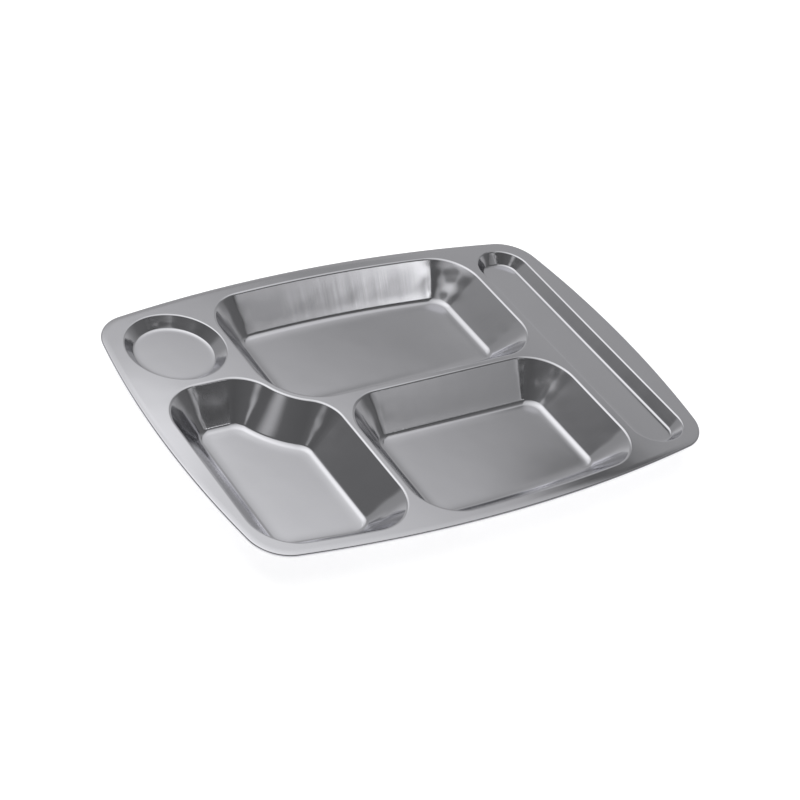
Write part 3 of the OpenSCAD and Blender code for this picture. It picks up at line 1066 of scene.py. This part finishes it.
def soft_box():
    """Large soft box above the plate, brightest over its back, with dim ends and a dark frame."""
    studio = bpy.context.scene.plate_studio

    def brightness(tree, place):
        away = add(tree, VECTOR_MATH, (place, BOX_MIDDLE), "Value", operation="DISTANCE")
        glow = add(tree, MAP_RANGE, (away, *BOX_FALL_OFF, studio.soft_box_level))
        away = add(tree, VECTOR_MATH, (place, BULB), "Value", operation="DISTANCE")
        bulb = add(tree, MAP_RANGE, (away, *BULB_EDGE, studio.bulb_level))
        glow = add(tree, MATH, (glow, bulb), operation="ADD")
        at = add(tree, SEPARATE, (place,)).node.outputs
        frame_side = add(tree, MAP_RANGE, (at["X"], *FRAME_SIDE))
        frame_end = add(tree, MAP_RANGE, (at["Y"], *FRAME_END))
        hidden = add(tree, MATH, (frame_side, frame_end), operation="MULTIPLY")
        lit = add(tree, MATH, (1, hidden), operation="SUBTRACT")
        for axis, ramp in (("X", BOX_LEFT_END), ("Y", BOX_FRONT_END)):
            end = add(tree, MAP_RANGE, (at[axis], *ramp))
            lit = add(tree, MATH, (lit, end), operation="MULTIPLY")
        return add(tree, MATH, (glow, lit, STUDIO_DARK), operation="MULTIPLY_ADD")

    corners = [(x, y, BOX_HEIGHT) for x, y in BOX_OUTLINE]
    mesh = new_mesh("soft_box", corners, faces=[range(len(corners))])
    unseen("soft_box", mesh, glowing("Soft box", brightness))


def round_wall():
    """Round wall of the studio with a small window, which the sloping sides of the wells show."""
    studio = bpy.context.scene.plate_studio

    def brightness(tree, place):
        at = add(tree, SEPARATE, (place,)).node.outputs
        azimuth = add(tree, MATH, (at["X"], at["Y"]), operation="ARCTAN2")
        turn = add(tree, MATH, (azimuth, 1 / math.tau, 0.5), operation="MULTIPLY_ADD")
        grey = add(tree, "ShaderNodeValToRGB", {"Fac": turn}, "Color")
        stops = grey.node.color_ramp.elements
        for degrees, _ in WALL_GREYS[1:-1]:
            stops.new(degrees / 360 + 0.5)
        for stop, (_, value) in zip(stops, WALL_GREYS):
            stop.color = (value, value, value, 1)
        foot = add(tree, MAP_RANGE, (at["Z"], *WALL_FOOT))
        low = add(tree, MAP_RANGE, (at["Z"], *WALL_LOW))
        front = add(tree, MAP_RANGE, (at["Y"], *WALL_FRONT))
        light = add(tree, MATH, (front, low, foot), operation="MULTIPLY_ADD")
        away = add(tree, VECTOR_MATH, (place, WINDOW), "Value", operation="DISTANCE")
        window = add(tree, MAP_RANGE, (away, *WINDOW_EDGE, studio.window_level))
        for part in (window, grey):
            light = add(tree, MATH, (light, part), operation="ADD")
        return light

    bm = bmesh.new()
    middle = Matrix.Translation(WALL_HEIGHT / 2 * UP)
    size = {"radius1": WALL_RADIUS, "radius2": WALL_RADIUS, "depth": WALL_HEIGHT}
    bmesh.ops.create_cone(bm, segments=WALL_SIDES, matrix=middle, **size)
    mesh = bpy.data.meshes.new("studio_wall")
    bm.to_mesh(mesh)
    bm.free()
    unseen("studio_wall", mesh, glowing("Grey studio wall", brightness))


def white_card():
    """White card in front on the right, lit by a strip lamp, which the wells' back walls show."""
    studio = bpy.context.scene.plate_studio
    strip = STRIP_END - STRIP_START

    def brightness(tree, place):
        offset = add(tree, VECTOR_MATH, (place, STRIP_START), operation="SUBTRACT")
        unit = strip.normalized()
        along = add(tree, VECTOR_MATH, (offset, unit), "Value", operation="DOT_PRODUCT")
        along = add(tree, "ShaderNodeClamp", {"Value": along, "Min": 0, "Max": strip.length})
        nearest = add(tree, VECTOR_MATH, {0: unit, "Scale": along}, operation="SCALE")
        away = add(tree, VECTOR_MATH, (offset, nearest), "Value", operation="DISTANCE")
        glow = add(tree, MAP_RANGE, (away, *STRIP_EDGE, studio.strip_level))
        at = add(tree, SEPARATE, (place,)).node.outputs
        upper_foot, upper_top, upper_bright, lower, lower_bright = [
            add(tree, MAP_RANGE, (at["Y"], *ramp))
            for ramp in (UPPER_FOOT, UPPER_TOP, UPPER_BRIGHT, LOWER_TOP, LOWER_BRIGHT)
        ]
        upper = add(tree, MATH, (upper_foot, upper_top), operation="MULTIPLY")
        paper = add(tree, MATH, (upper, lower), operation="ADD")
        for ramp in (PAPER_LEFT, PAPER_RIGHT):
            side = add(tree, MAP_RANGE, (at["X"], *ramp))
            paper = add(tree, MATH, (paper, side), operation="MULTIPLY")
        bright = add(tree, MATH, (lower_bright, lower), operation="MULTIPLY")
        bright = add(tree, MATH, (upper_bright, UPPER_BOOST, bright), operation="MULTIPLY_ADD")
        paper = add(tree, MATH, (paper, bright, paper), operation="MULTIPLY_ADD")
        paper = add(tree, MATH, (paper, studio.card_level, STUDIO_DARK), operation="MULTIPLY_ADD")
        return add(tree, MATH, (glow, paper), operation="ADD")

    mesh = square_mesh("white_card", *CARD_REACH)
    obj = unseen("white_card", mesh, glowing("White card", brightness))
    away = Vector((math.sin(CARD_AZIMUTH), math.cos(CARD_AZIMUTH), 0))
    left = UP.cross(away)
    turn = Matrix((left, UP, left.cross(UP))).transposed().to_4x4()
    obj.matrix_world = Matrix.Translation(CARD_DISTANCE * away + CARD_HEIGHT * UP) @ turn


def camera():
    """The photograph's camera. Azimuth 0 looks along Y."""
    a, e = CAMERA_AZIMUTH, CAMERA_ELEVATION
    back = Vector((math.sin(a) * math.cos(e), -math.cos(a) * math.cos(e), math.sin(e)))
    level_right = UP.cross(back).normalized()
    level_up = back.cross(level_right)
    right = math.cos(CAMERA_ROLL) * level_right + math.sin(CAMERA_ROLL) * level_up
    up = back.cross(right)
    data = bpy.data.cameras.new("Camera")
    data.sensor_width = CAMERA_SENSOR
    data.lens = CAMERA_LENS
    data.clip_start, data.clip_end = CAMERA_CLIP
    obj = placed("Camera", data)
    place = CAMERA_AIM - CAMERA_PAN.x * right - CAMERA_PAN.y * up + back * CAMERA_DISTANCE
    obj.matrix_world = Matrix.Translation(place) @ Matrix((right, up, back)).transposed().to_4x4()
    scene = bpy.context.scene
    scene.camera = obj
    scene.view_settings.view_transform = "Standard"


# Add-on


class PLATE_PT_sidebar(bpy.types.Panel):
    """Lists the plate's pieces and their sizes"""

    bl_idname = "PLATE_PT_sidebar"
    bl_label = "Compartment plate"
    bl_space_type = "VIEW_3D"
    bl_region_type = "UI"
    bl_category = "Plate"

    def draw(self, context):
        for operator in OPERATORS:
            self.layout.operator(operator.bl_idname)
        for name, group in SIZE_GROUPS.items():
            box = self.layout.box()
            box.label(text=group.__doc__)
            for size in group.__annotations__:
                box.prop(getattr(context.scene, name), size)


SIZE_GROUPS = {
    "plate_edge": TrayEdgeSizes,
    "plate_deep_wells": DeepWellSizes,
    "plate_cup_well": CupWellSizes,
    "plate_channel": ChannelSizes,
    "plate_finish": FinishLooks,
    "plate_studio": StudioLooks,
}
OPERATORS = (PLATE_OT_deck, PLATE_OT_wells, PLATE_OT_hem, PLATE_OT_studio)
CLASSES = (*SIZE_GROUPS.values(), *OPERATORS, PLATE_PT_sidebar)


def register():
    for cls in CLASSES:
        bpy.utils.register_class(cls)
    for name, group in SIZE_GROUPS.items():
        setattr(bpy.types.Scene, name, bpy.props.PointerProperty(type=group))


def unregister():
    for name in SIZE_GROUPS:
        delattr(bpy.types.Scene, name)
    for cls in reversed(CLASSES):
        bpy.utils.unregister_class(cls)


def main():
    register()
    bpy.ops.plate.deck()
    bpy.ops.plate.wells()
    bpy.ops.plate.hem()
    bpy.ops.plate.studio()


if __name__ == "__main__":
    main()
